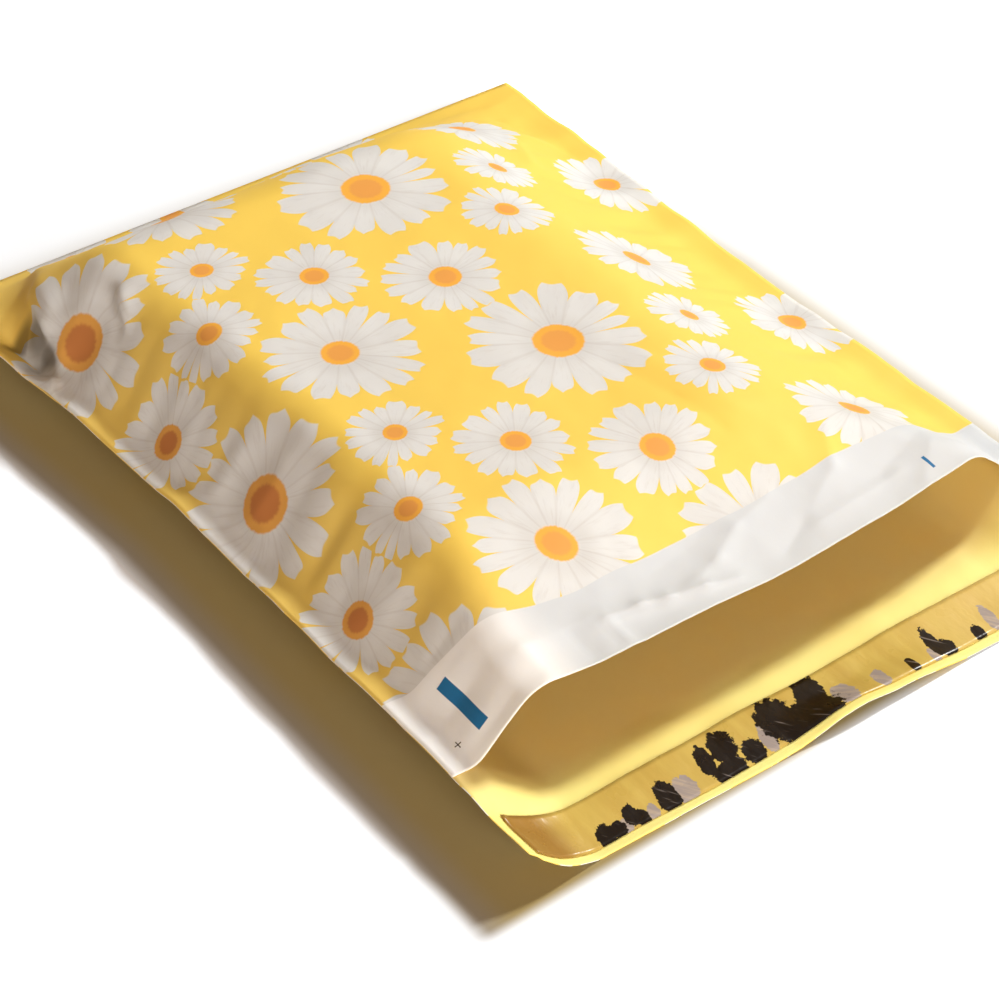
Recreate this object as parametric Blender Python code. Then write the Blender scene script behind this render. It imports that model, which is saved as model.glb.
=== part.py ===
"""A filled poly mailer lying on its back, with its mouth open and its flap unfolded.

Metres, +Z up. +X runs across the bag, +Y points to the closed end, and the flap lies towards -Y.
The origin is the middle of the whole bag's plan, on the surface that it lies on.
The bag is one film: a back panel that goes on as the flap, folded at the closed end into the
front panel, and welded to it along both sides.
"""

import math

import bmesh
import bpy
from mathutils import Vector

# Plan of the filled bag
CLOSED_WIDTH = 0.250
WAIST_WIDTH = 0.231
MOUTH_WIDTH = 0.229
SIDE_LENGTH = 0.291
WAIST_FROM_MOUTH = 0.115
FLARE_POWER = 1.5

# Film and its side welds
FILM = 0.0004
WELD_WIDTH = 0.006

# Heights of the film's inner faces over the surface that the bag lies on
SIDE_SEAM_HEIGHT = 0.0165
CLOSED_EDGE_HEIGHT = 0.0150
PLATEAU_HEIGHT = 0.0450
CROWN = 0.0015
LIP_HEIGHT = 0.0360
LIP_SAG = 0.0050

# Runs over which the panels climb, from each welded or folded edge
FRONT_SIDE_RUN = 0.040
FRONT_CLOSED_RUN = 0.056
LIP_CORNER_RUN = 0.026
LIP_SINK_LENGTH = 0.062
LIP_REACH = 0.004
BACK_SIDE_RUN = 0.027
BACK_CLOSED_RUN = 0.026

# Shares of each run that its curved foot and its round shoulder take
FOOT_SHARE = 0.20
SHOULDER_SHARE = 0.42

# Dents where the closed end's corners crumple
DENT_DEPTH = 0.0055
DENT_LENGTH = 0.021
DENT_FROM_SIDE = 0.034
DENT_FROM_CLOSED_END = 0.027

# Flap
FLAP_LENGTH = 0.040
FLAP_END_WIDTH = 0.228
FLAP_BLEND = 0.024
SIDE_CURL = 0.0145
SIDE_CURL_WIDTH = 0.028
END_CURL = 0.0020
END_CURL_START = 0.016

# Adhesive strip and the release liner over it, both as long as the flap is wide
LINER_WIDTH = 0.0200
LINER_THICKNESS = 0.0003
LINER_FROM_EDGE = 0.0042
ADHESIVE_WIDTH = 0.0140
ADHESIVE_THICKNESS = 0.0002
SEAT_GAP = 0.0003

# Mesh steps
RUN_STEPS = 8
FLAT_STEPS = 5
LENGTH_STEPS = 8
LIP_STEPS = 4
FLAP_STEPS = 4
SLOPE_STEP = 0.0001

MOUTH_Y = FLAP_LENGTH - (SIDE_LENGTH + FLAP_LENGTH) / 2
CLOSED_Y = MOUTH_Y + SIDE_LENGTH


def ease(share):
    """A smooth step from 0 to 1."""
    share = min(max(share, 0.0), 1.0)
    return share * share * (3.0 - 2.0 * share)


def climb(distance, run):
    """How far up a wall the film is: a short foot, a straight slope and a round shoulder."""
    share = min(max(distance / run, 0.0), 1.0)
    straight = 1.0 - FOOT_SHARE - SHOULDER_SHARE
    rise = min(share, FOOT_SHARE) ** 2 / (2 * FOOT_SHARE)
    rise += min(max(share - FOOT_SHARE, 0.0), straight)
    top = max(share - FOOT_SHARE - straight, 0.0)
    rise += top - top * top / (2 * SHOULDER_SHARE)
    return rise / (1.0 - (FOOT_SHARE + SHOULDER_SHARE) / 2)


def half_width(y):
    """Half the plan width at y, the seams drawn in towards the mouth by the filled bag."""
    along = y - MOUTH_Y
    if along < 0.0:
        share = ease(-along / FLAP_LENGTH)
        return (MOUTH_WIDTH + (FLAP_END_WIDTH - MOUTH_WIDTH) * share) / 2
    if along < WAIST_FROM_MOUTH:
        share = ease(along / WAIST_FROM_MOUTH)
        return (MOUTH_WIDTH + (WAIST_WIDTH - MOUTH_WIDTH) * share) / 2
    share = (along - WAIST_FROM_MOUTH) / (SIDE_LENGTH - WAIST_FROM_MOUTH)
    return (WAIST_WIDTH + (CLOSED_WIDTH - WAIST_WIDTH) * max(share, 0.0) ** FLARE_POWER) / 2


def seam_height(y):
    """Height of the welded sides and of the folded end."""
    share = ease((CLOSED_Y - y) / FRONT_CLOSED_RUN)
    return CLOSED_EDGE_HEIGHT + (SIDE_SEAM_HEIGHT - CLOSED_EDGE_HEIGHT) * share


def dent(x, y):
    """Depth of the crumple at the closed end's corners."""
    side = half_width(y) - DENT_FROM_SIDE
    end = CLOSED_Y - DENT_FROM_CLOSED_END
    away = ((abs(x) - side) ** 2 + (y - end) ** 2) / DENT_LENGTH ** 2
    return DENT_DEPTH * math.exp(-2.0 * away)


def middle_share(x, y):
    """1 along the bag's middle, falling to 0 at its sides."""
    return 1.0 - (x / half_width(y)) ** 2


def front_height(x, y):
    """Height of the front panel's inner face."""
    inset = half_width(y) - WELD_WIDTH - abs(x)
    from_mouth = ease((y - MOUTH_Y) / LIP_SINK_LENGTH)
    plateau = PLATEAU_HEIGHT + CROWN * middle_share(x, y)
    lip = LIP_HEIGHT - LIP_SAG * middle_share(x, y)
    top = lip + (plateau - lip) * from_mouth
    run = LIP_CORNER_RUN + (FRONT_SIDE_RUN - LIP_CORNER_RUN) * from_mouth
    share = climb(inset, run) * climb(CLOSED_Y - y, FRONT_CLOSED_RUN)
    low = seam_height(y)
    return low + (top - low - dent(x, y)) * share


def lip_reach(x, y):
    """How far the front panel's lip bows out past the mouth's corners, fading into the panel."""
    fade = 1.0 - ease((y - MOUTH_Y) / LIP_SINK_LENGTH)
    return LIP_REACH * max(middle_share(x, y), 0.0) * fade


def back_height(x, y):
    """Height of the back panel's and the flap's inner face."""
    if y < MOUTH_Y:
        return flap_height(x, y)
    inset = half_width(y) - WELD_WIDTH - abs(x)
    share = climb(inset, BACK_SIDE_RUN) * climb(CLOSED_Y - y, BACK_CLOSED_RUN)
    return seam_height(y) + (FILM - seam_height(y)) * share


def flap_height(x, y):
    """The flap goes over from the mouth's profile to a flat one with its sides and its end curled up."""
    out = MOUTH_Y - y
    half = half_width(y)
    start = back_height(x * half_width(MOUTH_Y) / half, MOUTH_Y)
    side = max(1.0 - (half - abs(x)) / SIDE_CURL_WIDTH, 0.0)
    end = ease((out - END_CURL_START) / (FLAP_LENGTH - END_CURL_START))
    curled = FILM + SIDE_CURL * side ** 2 + END_CURL * end * (1.0 - side)
    return start + (curled - start) * ease(out / FLAP_BLEND)


def face_point(height, x, y, distance=0.0):
    """A point on one of the film's faces, or off it by a distance square to it."""
    rise_x = height(x + SLOPE_STEP, y) - height(x - SLOPE_STEP, y)
    rise_y = height(x, y + SLOPE_STEP) - height(x, y - SLOPE_STEP)
    normal = Vector((-rise_x, -rise_y, 2 * SLOPE_STEP)).normalized()
    reach = lip_reach(x, y) if height is front_height else 0.0
    return Vector((x, y - reach, height(x, y))) + normal * distance


def column_insets():
    """Distances from the seam's edge for the mesh's columns, as seen at the closed end."""
    half = CLOSED_WIDTH / 2
    step = FRONT_SIDE_RUN / RUN_STEPS
    insets = [0.0, WELD_WIDTH]
    insets += [WELD_WIDTH + step * (i + 1) for i in range(RUN_STEPS)]
    left = half - insets[-1]
    insets += [insets[-1] + left * (i + 1) / FLAT_STEPS for i in range(FLAT_STEPS - 1)]
    return insets


def columns(y):
    """X of every column at y: the wall columns keep their distance from the seam."""
    half = half_width(y)
    insets = column_insets()
    shrink = half / (CLOSED_WIDTH / 2)
    edge = [i if i <= WELD_WIDTH else WELD_WIDTH + (i - WELD_WIDTH) * shrink for i in insets]
    left = [inset - half for inset in edge]
    return left + [-x for x in reversed(left)]


def panel_rows():
    """Y of every row of the two panels, from the mouth to the closed end."""
    rows = [MOUTH_Y + LIP_SINK_LENGTH * i / LIP_STEPS for i in range(LIP_STEPS)]
    start = MOUTH_Y + LIP_SINK_LENGTH
    end = CLOSED_Y - FRONT_CLOSED_RUN
    rows += [start + (end - start) * i / LENGTH_STEPS for i in range(LENGTH_STEPS)]
    rows += [end + FRONT_CLOSED_RUN * i / RUN_STEPS for i in range(RUN_STEPS + 1)]
    return rows


def liner_rows():
    """Y of the liner's long edges and of the adhesive's, from the mouth outwards."""
    outer = MOUTH_Y - FLAP_LENGTH + LINER_FROM_EDGE
    margin = (LINER_WIDTH - ADHESIVE_WIDTH) / 2
    inner = outer + LINER_WIDTH
    middle = (inner + outer) / 2
    return [inner, inner - margin, middle, outer + margin, outer]


def flap_rows():
    """Y of every row of the flap beyond the mouth, with the liner's own rows among them."""
    first = liner_rows()[0]
    rows = [MOUTH_Y + (first - MOUTH_Y) * (i + 1) / FLAP_STEPS for i in range(FLAP_STEPS - 1)]
    return rows + liner_rows() + [MOUTH_Y - FLAP_LENGTH]


def sheet(bm, height, rows, distance):
    """A grid of vertices at a distance from one of the film's faces, row by row."""
    return [[bm.verts.new(face_point(height, x, y, distance)) for x in columns(y)] for y in rows]


def quads(bm, low, high, flip):
    """Faces between two lines of vertices."""
    for a, b, c, d in zip(low, low[1:], high[1:], high):
        corners = list(dict.fromkeys((a, b, c, d)))
        if len(corners) > 2:
            bm.faces.new(reversed(corners) if flip else corners)


def skin(bm, grid, flip):
    """Faces over a whole grid."""
    for low, high in zip(grid, grid[1:]):
        quads(bm, low, high, flip)


def finish(bm, name, colour, roughness):
    """Turn a bmesh into a named object with its own material."""
    bmesh.ops.triangulate(bm, faces=bm.faces[:])
    bmesh.ops.recalc_face_normals(bm, faces=bm.faces[:])
    mesh = bpy.data.meshes.new(name)
    bm.to_mesh(mesh)
    bm.free()
    mesh.shade_smooth()
    mesh.set_sharp_from_angle(angle=math.radians(50))
    material = bpy.data.materials.new(name)
    material.use_nodes = True
    shader = material.node_tree.nodes["Principled BSDF"]
    shader.inputs["Base Color"].default_value = (*colour, 1.0)
    shader.inputs["Roughness"].default_value = roughness
    shader.inputs["Metallic"].default_value = 0.0
    mesh.materials.append(material)
    obj = bpy.data.objects.new(name, mesh)
    bpy.context.scene.collection.objects.link(obj)
    return obj


def make_film():
    """Front panel, back panel and flap as one film, hollow and open at the mouth."""
    bm = bmesh.new()
    panel = panel_rows()
    front_out = sheet(bm, front_height, panel, FILM)
    back_out = sheet(bm, back_height, panel, -FILM)
    last = len(columns(MOUTH_Y)) - 1

    # Inside the pocket the faces meet along the welds' inner edges and at the closed end
    front_in = []
    back_in = []
    for y in panel[:-1]:
        front_line = []
        back_line = []
        for i, x in enumerate(columns(y)[1:last]):
            low = bm.verts.new(face_point(back_height, x, y))
            welded = i in (0, last - 2)
            back_line.append(low)
            front_line.append(low if welded else bm.verts.new(face_point(front_height, x, y)))
        front_in.append(front_line)
        back_in.append(back_line)
    inner = columns(CLOSED_Y)[1:last]
    end_line = [bm.verts.new((x, CLOSED_Y, seam_height(CLOSED_Y))) for x in inner]
    front_in.append(end_line)
    back_in.append(end_line)

    # The flap goes on from the back panel
    flap = flap_rows()
    edges = (-half_width(MOUTH_Y), half_width(MOUTH_Y))
    left, right = [bm.verts.new((x, MOUTH_Y, back_height(x, MOUTH_Y))) for x in edges]
    mouth_in = [left] + back_in[0] + [right]
    flap_in = [mouth_in] + sheet(bm, back_height, flap, 0.0)
    flap_out = [back_out[0]] + sheet(bm, back_height, flap, -FILM)

    skin(bm, front_out, False)
    skin(bm, back_out, True)
    skin(bm, front_in, True)
    skin(bm, back_in, False)
    skin(bm, flap_in, True)
    skin(bm, flap_out, False)

    # Rims: the lip, the weld ends beside it, the flap's three edges, the sides and the folded end
    quads(bm, front_out[0], [left] + front_in[0] + [right], False)
    quads(bm, flap_in[-1], flap_out[-1], False)
    quads(bm, front_out[-1], back_out[-1], True)
    for side, flip in ((0, False), (-1, True)):
        edge_in = [row[side] for row in flap_in]
        edge_out = [row[side] for row in flap_out]
        quads(bm, edge_in, edge_out, flip)
        top = [row[side] for row in front_out]
        low = [row[side] for row in back_out]
        quads(bm, top[1:], low[1:], flip)
        rim = [top[0], top[1], low[1], low[0], edge_in[0]]
        bm.faces.new(rim if flip else reversed(rim))
    return finish(bm, "mailer_film", (0.97, 0.72, 0.14), 0.38)


def make_strip(name, rows, lift, thickness, colour, roughness):
    """A thin strip that lies along the whole flap, a lift above its inner face."""
    bm = bmesh.new()
    low = sheet(bm, back_height, rows, lift)
    high = sheet(bm, back_height, rows, lift + thickness)
    skin(bm, low, False)
    skin(bm, high, True)
    quads(bm, low[0], high[0], False)
    quads(bm, low[-1], high[-1], True)
    for side, flip in ((0, True), (-1, False)):
        quads(bm, [row[side] for row in low], [row[side] for row in high], flip)
    return finish(bm, name, colour, roughness)


def main():
    for obj in list(bpy.data.objects):
        bpy.data.objects.remove(obj, do_unlink=True)
    make_film()
    rows = liner_rows()
    make_strip("adhesive_strip", rows[1:-1], SEAT_GAP, ADHESIVE_THICKNESS, (0.80, 0.70, 0.42), 0.45)
    liner_lift = SEAT_GAP + ADHESIVE_THICKNESS + SEAT_GAP
    make_strip("release_liner", rows, liner_lift, LINER_THICKNESS, (0.72, 0.52, 0.16), 0.12)


main()
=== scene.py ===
"""Looks of a filled poly mailer bag: a printed film with welded sides, an open mouth and a flap.

Metres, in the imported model's frame: +X across the bag, +Y to its closed end, +Z up.
The film is one cut sheet. Its flat coordinates are u across it and s along it: s runs from the
front panel's lip to the closed end's fold, back along the underside to the mouth, and out over
the flap. The print, the folds and the ripples are all placed in those flat coordinates.
"""

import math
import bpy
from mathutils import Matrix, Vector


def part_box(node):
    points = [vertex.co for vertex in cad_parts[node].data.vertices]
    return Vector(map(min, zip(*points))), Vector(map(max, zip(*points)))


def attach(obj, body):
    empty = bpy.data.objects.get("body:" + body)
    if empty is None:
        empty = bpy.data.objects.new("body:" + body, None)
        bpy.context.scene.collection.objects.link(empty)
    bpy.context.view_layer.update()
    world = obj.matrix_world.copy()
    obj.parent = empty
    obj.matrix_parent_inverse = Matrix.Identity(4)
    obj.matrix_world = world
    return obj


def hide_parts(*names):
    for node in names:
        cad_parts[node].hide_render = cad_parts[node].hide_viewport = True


bl_info = {
    "name": "Poly Mailer Bag",
    "version": (1, 0, 0),
    "blender": (4, 5, 0),
    "location": "3D View > Sidebar > Mailer",
    "description": "Builds a filled poly mailer bag with an open mouth, a flap and a release liner",
    "category": "Object",
}

import bmesh
import bpy
import numpy as np
from bpy.props import FloatProperty, FloatVectorProperty, IntProperty, PointerProperty
from mathutils import Euler, Vector

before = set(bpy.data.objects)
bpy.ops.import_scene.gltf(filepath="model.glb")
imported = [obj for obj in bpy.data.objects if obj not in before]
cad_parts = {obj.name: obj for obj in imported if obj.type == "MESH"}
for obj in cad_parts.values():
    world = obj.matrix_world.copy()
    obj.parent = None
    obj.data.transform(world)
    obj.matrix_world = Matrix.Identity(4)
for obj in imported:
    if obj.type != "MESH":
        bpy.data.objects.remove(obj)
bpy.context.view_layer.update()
FILM_LOW, FILM_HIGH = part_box("mailer_film")

MM = 0.001


def length(name, description, default):
    """A length that the panel shows in scene units."""
    return FloatProperty(name=name, description=description, default=default, unit="LENGTH", precision=5)


def colour(name, description, default):
    """A colour in linear light."""
    return FloatVectorProperty(
        name=name, description=description, default=default, size=3, subtype="COLOR", min=0.0, max=1.0
    )


def number(name, description, default):
    """A plain number from 0 up."""
    return FloatProperty(name=name, description=description, default=default, min=0.0)


class MailerShape(bpy.types.PropertyGroup):
    """Sizes of the film and of the filled bag."""

    flat_width: length("Flat width", "Width of the empty bag", 0.250)
    panel_length: length("Panel length", "Length of the empty bag without its flap", 0.300)
    flap_length: length("Flap length", "Length of the flap laid flat", 0.0420)
    wall: length("Wall", "Thickness that the film is shown with", 0.0003)
    weld: length("Weld width", "Width of the welds along both sides", 0.006)
    closed_width: length("Closed width", "Plan width at the closed end", FILM_HIGH[0] - FILM_LOW[0])
    waist_width: length("Waist width", "Plan width where the sides are drawn in most", 0.231)
    mouth_width: length("Mouth width", "Plan width at the mouth", 0.229)
    waist_from_mouth: length("Waist from mouth", "Distance from the mouth to the waist", 0.115)
    flap_plan: length("Flap plan", "How far the flap lies beyond the mouth", 0.040)
    flap_end_width: length("Flap end width", "Plan width of the flap's end", 0.228)
    seam_height: length("Seam height", "Height of the welded sides", 0.0165)
    closed_height: length("Closed end height", "Height of the folded end", 0.0150)
    plateau_height: length("Plateau height", "Height of the front panel's flat top", 0.0450)
    crown: length("Crown", "Rise of the plateau's middle", 0.0015)
    lip_height: length("Lip height", "Height of the lip over its corners", 0.0360)
    lip_sag: length("Lip sag", "How much lower the lip's middle is", 0.0050)
    lip_reach: length("Lip reach", "How far the lip bows out past the mouth's corners", 0.0040)
    gap: length("Gap", "How far each panel stands off the other at the welds", 0.0001)
    rest: length("Rest height", "Height of the back panel's inner face", 0.0004)
    side_run: length("Side run", "Run of the front panel's left side wall", 0.040)
    right_run: length("Right run", "Run of the front panel's right side wall", 0.078)
    closed_run: length("Closed run", "Run of the front panel's wall at the closed end", 0.056)
    lip_corner_run: length("Lip corner run", "Run of the side walls at the lip", 0.026)
    lip_sink: length("Lip sink", "Length over which the front panel sinks to its lip", 0.062)
    back_side_run: length("Back side run", "Run of the back panel's side walls", 0.027)
    back_closed_run: length("Back closed run", "Run of the back panel's wall at the closed end", 0.026)
    flap_blend: length("Flap blend", "Length over which the flap leaves the mouth's profile", 0.024)
    side_curl: length("Side curl", "How high the flap's sides curl up", 0.0145)
    side_curl_width: length("Side curl width", "Width of each curled side", 0.028)
    flap_near: length("Flap near", "How far the flap reaches at its left side", 0.0365)
    flap_skew: number("Flap skew", "How much further it reaches for each unit to the right", 0.036)
    liner_from_mouth: length("Liner from mouth", "Distance from the mouth to the liner's left end", 0.0166)
    liner_width: length("Liner width", "Width of the release liner", 0.0172)
    adhesive_width: length("Adhesive width", "Width of the strip of adhesive", 0.0130)
    columns: IntProperty(name="Columns", description="Mesh faces across the film", default=150, min=20)
    rows: IntProperty(name="Rows", description="Mesh faces along the film", default=320, min=60)


class MailerPrint(bpy.types.PropertyGroup):
    """Colours and sizes of the print."""

    ground: colour("Ground", "Yellow ground of the print", (0.965, 0.710, 0.126))
    # Painted shade: the ground darker and more orange on the shaded left side wall
    ground_painted_shade: colour("Ground left", "The ground near the left side", (0.860, 0.640, 0.155))
    petal: colour("Petal", "White of the daisies", (0.765, 0.805, 0.820))
    bare: colour("Bare", "White of the unprinted band", (0.660, 0.720, 0.770))
    # Painted light: the unprinted band lighter at its shaded left end
    bare_painted_light: colour("Bare left", "White of the unprinted band at its left end", (0.940, 0.980, 1.000))
    petal_shade: colour("Petal shade", "Grey lines between petals", (0.550, 0.545, 0.530))
    core: colour("Core", "Orange middle of each daisy", (0.850, 0.390, 0.085))
    # Painted shade: the daisies' middles and rings darker on the shaded left side wall
    core_painted_shade: colour("Core left", "Middle of the daisies near the left side", (0.560, 0.215, 0.065))
    ring_painted_shade: colour("Ring left", "Ring round the middles near the left side", (0.760, 0.390, 0.090))
    ring: colour("Ring", "Yellow ring round each middle", (0.930, 0.480, 0.065))
    mark: colour("Mark", "Blue of the registration marks", (0.018, 0.170, 0.400))
    inside: colour("Inside", "Film's inner face on the flap", (1.000, 0.940, 0.320))
    # Painted shade: the inner face darker behind the mouth, where the lip's shadow falls
    inside_painted_shade: colour("Inside, deep", "Film's inner face behind the mouth", (0.790, 0.625, 0.238))
    repeat: length("Repeat", "Length after which the print repeats", 0.109)
    band: length("Band", "Width of the unprinted band at the lip", 0.0245)


class MailerStage(bpy.types.PropertyGroup):
    """Camera, lamps and floor."""

    key_power: number("Key power", "Power of the key lamp", 32.0)
    key_size: length("Key size", "Width of the key lamp", 0.22)
    side_power: number("Side power", "Power of the low lamp in front", 33.0)
    fill: number("Fill", "Strength of the surrounding light", 0.30)
    fill_colour: colour("Fill colour", "Colour of the surrounding light", (1.0, 0.69, 0.47))
    lens: number("Lens", "Focal length in millimetres", 86.4)


def ease(t):
    """A smooth step from 0 to 1."""
    t = np.clip(t, 0.0, 1.0)
    return t * t * (3.0 - 2.0 * t)


# Shares of a wall's run that its curved foot and its round shoulder take
FOOT = 0.20
SHOULDER = 0.42
# How much less the front panel's gentler right side takes
RIGHT_FOOT_CUT = 0.08
RIGHT_SHOULDER_CUT = 0.06


def climb(distance, run, foot=FOOT, shoulder=SHOULDER):
    """How far up a wall the film is: a short foot, a straight slope and a round shoulder."""
    t = np.clip(distance / run, 0.0, 1.0)
    straight = 1.0 - foot - shoulder
    rise = np.minimum(t, foot) ** 2 / (2 * foot) + np.clip(t - foot, 0.0, straight)
    top = np.maximum(t - foot - straight, 0.0)
    return (rise + top - top * top / (2 * shoulder)) / (1.0 - (foot + shoulder) / 2)


# How far before a table's last line a place is read, so that it still has a next line
LAST_STEP = 0.000001


def lookup(table, a, b):
    """Values between a table's entries, at fractional rows a and columns b."""
    a = np.clip(a, 0, table.shape[0] - 1 - LAST_STEP)
    b = np.clip(b, 0, table.shape[1] - 1 - LAST_STEP)
    i = a.astype(int)
    j = b.astype(int)
    f = a - i
    g = b - j
    low = (1 - g) * table[i, j] + g * table[i, j + 1]
    high = (1 - g) * table[i + 1, j] + g * table[i + 1, j + 1]
    return (1 - f) * low + f * high


# Corners of the noise's lattice along each side, where its middle lies, and what evens out its height
LATTICE = 64
LATTICE_MIDDLE = (20.3, 20.7)
NOISE_GAIN = 1.8


def smooth_noise(x, y, seed):
    """Even noise, mostly between -1 and 1, that changes over about one unit of x and y."""
    angles = np.random.default_rng(seed).uniform(0.0, 2 * np.pi, (LATTICE, LATTICE))
    x = x + LATTICE_MIDDLE[0]
    y = y + LATTICE_MIDDLE[1]
    i = np.floor(x).astype(int)
    j = np.floor(y).astype(int)
    f = x - i
    g = y - j

    def corner(a, b):
        angle = angles[(i + a) % LATTICE, (j + b) % LATTICE]
        return np.cos(angle) * (f - a) + np.sin(angle) * (g - b)

    low = corner(0, 0) + (corner(0, 1) - corner(0, 0)) * ease(g)
    high = corner(1, 0) + (corner(1, 1) - corner(1, 0)) * ease(g)
    return NOISE_GAIN * (low + (high - low) * ease(f))


# How steeply the sides flare from the waist to the closed end
FLARE_POWER = 1.5
# The flap's corners are rounded over this width and drawn back by this length
CORNER_WIDTH = 0.014
CORNER_DEPTH = 0.0050
CORNER_POWER = 2.5


class Bag:
    """The filled bag's surface as a function of the film's flat coordinates."""

    # Lines of the tables that turn flat coordinates into plan ones, across and along
    SHARES = 161
    STATIONS = 221

    def __init__(self, shape):
        self.p = shape
        self.closed_y = FILM_HIGH[1]
        self.mouth_y = FILM_LOW[1] + shape.flap_plan
        self.side = self.closed_y - self.mouth_y
        self.half = shape.flat_width / 2
        self.front_tables = self.tables(self.front_height)
        self.back_tables = self.tables(self.back_height)

    def half_width(self, y):
        """Half the plan width at y."""
        p = self.p
        along = y - self.mouth_y
        flap = p.mouth_width + (p.flap_end_width - p.mouth_width) * ease(-along / p.flap_plan)
        low = p.mouth_width + (p.waist_width - p.mouth_width) * ease(along / p.waist_from_mouth)
        beyond = np.clip((along - p.waist_from_mouth) / (self.side - p.waist_from_mouth), 0.0, None)
        high = p.waist_width + (p.closed_width - p.waist_width) * beyond**FLARE_POWER
        width = np.where(along < 0.0, flap, np.where(along < p.waist_from_mouth, low, high))
        return width / 2

    def seam_height(self, y):
        """Height of the welds and of the folded end."""
        p = self.p
        return p.closed_height + (p.seam_height - p.closed_height) * ease((self.closed_y - y) / p.closed_run)

    def front_height(self, x, y):
        """Height of the front panel."""
        p = self.p
        half = self.half_width(y)
        middle = 1.0 - (x / half) ** 2
        inset = half - p.weld - np.abs(x)
        from_mouth = ease((y - self.mouth_y) / p.lip_sink)
        lip = p.lip_height - p.lip_sag * middle
        top = lip + (p.plateau_height + p.crown * middle - lip) * from_mouth
        full_run = np.where(x < 0.0, p.side_run, p.right_run)
        run = p.lip_corner_run + (full_run - p.lip_corner_run) * from_mouth
        shoulder = np.where(x < 0.0, SHOULDER, SHOULDER - RIGHT_SHOULDER_CUT * from_mouth)
        foot = FOOT - RIGHT_FOOT_CUT * (x > 0.0)
        low = self.seam_height(y)
        climbed = climb(inset, run, foot, shoulder) * climb(self.closed_y - y, p.closed_run)
        return low + (top - low) * climbed

    def back_height(self, x, y):
        """Height of the back panel, and of the flap beyond the mouth."""
        p = self.p
        half = self.half_width(y)
        inner_y = np.maximum(y, self.mouth_y)
        inner_half = self.half_width(inner_y)
        inset = inner_half - p.weld - np.abs(x) * inner_half / half
        low = self.seam_height(inner_y)
        sink = climb(inset, p.back_side_run) * climb(self.closed_y - inner_y, p.back_closed_run)
        start = low + (p.rest - low) * sink
        out = self.mouth_y - y
        side = np.clip(1.0 - (half - np.abs(x)) / p.side_curl_width, 0.0, None)
        curled = p.rest + p.side_curl * side**2
        flap = start + (curled - start) * ease(out / p.flap_blend)
        return np.where(out > 0.0, flap, start)

    def tables(self, height):
        """For one panel: y over the flat length, and the share of the half width over the flat width."""
        shares = np.linspace(-1.0, 1.0, self.SHARES)
        stations = np.linspace(self.mouth_y, self.closed_y, self.STATIONS)
        s, y = np.meshgrid(shares, stations, indexing="ij")
        x = s * self.half_width(y)
        z = height(x, y)
        along = np.hypot(np.diff(y, axis=1), np.diff(z, axis=1)).cumsum(1)
        along = np.pad(along, ((0, 0), (1, 0)))
        across = np.hypot(np.diff(x, axis=0), np.diff(z, axis=0)).cumsum(0)
        across = np.pad(across, ((1, 0), (0, 0)))
        even = np.linspace(0.0, 1.0, self.STATIONS)
        y_table = np.array([np.interp(even, row / row[-1], stations) for row in along])
        even = np.linspace(0.0, 1.0, self.SHARES)
        s_table = np.array([np.interp(even, column / column[-1], shares) for column in across.T]).T
        return y_table, s_table

    def plan(self, tables, u, v):
        """Plan place of flat coordinates on one panel, v running from the mouth to the fold."""
        y_table, s_table = tables
        a = (u / self.half + 1.0) / 2 * (self.SHARES - 1)
        b = v / self.p.panel_length * (self.STATIONS - 1)
        y = lookup(y_table, a, b)
        s = lookup(s_table, a, (y - self.mouth_y) / self.side * (self.STATIONS - 1))
        y = lookup(y_table, (s + 1.0) / 2 * (self.SHARES - 1), b)
        return s * self.half_width(y), y

    def front(self, u, v):
        """Points of the front panel."""
        x, y = self.plan(self.front_tables, u, v)
        middle = np.clip(1.0 - (x / self.half_width(y)) ** 2, 0.0, 1.0)
        reach = self.p.lip_reach * middle * (1.0 - ease((y - self.mouth_y) / self.p.lip_sink))
        return np.stack([x, y - reach, self.front_height(x, y)], -1)

    def back(self, u, v):
        """Points of the back panel, and of the flap where v is below 0."""
        x, y = self.plan(self.back_tables, u, np.maximum(v, 0.0))
        out = np.maximum(-v, 0.0) * self.p.flap_plan / self.p.flap_length
        x = x * self.half_width(y - out) / self.half_width(y)
        y = y - out
        rounding = np.clip(1.0 - (self.half_width(y) - np.abs(x)) / CORNER_WIDTH, 0.0, 1.0)
        reach = self.p.flap_near + self.p.flap_skew * (x + self.half)
        reach = reach - CORNER_DEPTH * rounding**CORNER_POWER
        return np.stack([x, y - out * (reach / self.p.flap_plan - 1.0), self.back_height(x, y)], -1)

    def point(self, u, s):
        """Points of the smooth film."""
        panel = self.p.panel_length
        on_front = s <= panel
        front = self.front(u, np.minimum(s, panel))
        back = self.back(u, np.minimum(2 * panel - s, panel))
        return np.where(on_front[..., None], front, back)

    def normal(self, u, s, step=0.0004):
        """Outward directions of the smooth film."""
        panel = self.p.panel_length
        s = np.where(np.abs(s - panel) < 2 * step, panel - 2 * step, s)
        across = self.point(u + step, s) - self.point(u - step, s)
        along = self.point(u, s + step) - self.point(u, s - step)
        normal = np.cross(across, along)
        return normal / np.linalg.norm(normal, axis=-1, keepdims=True)


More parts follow.
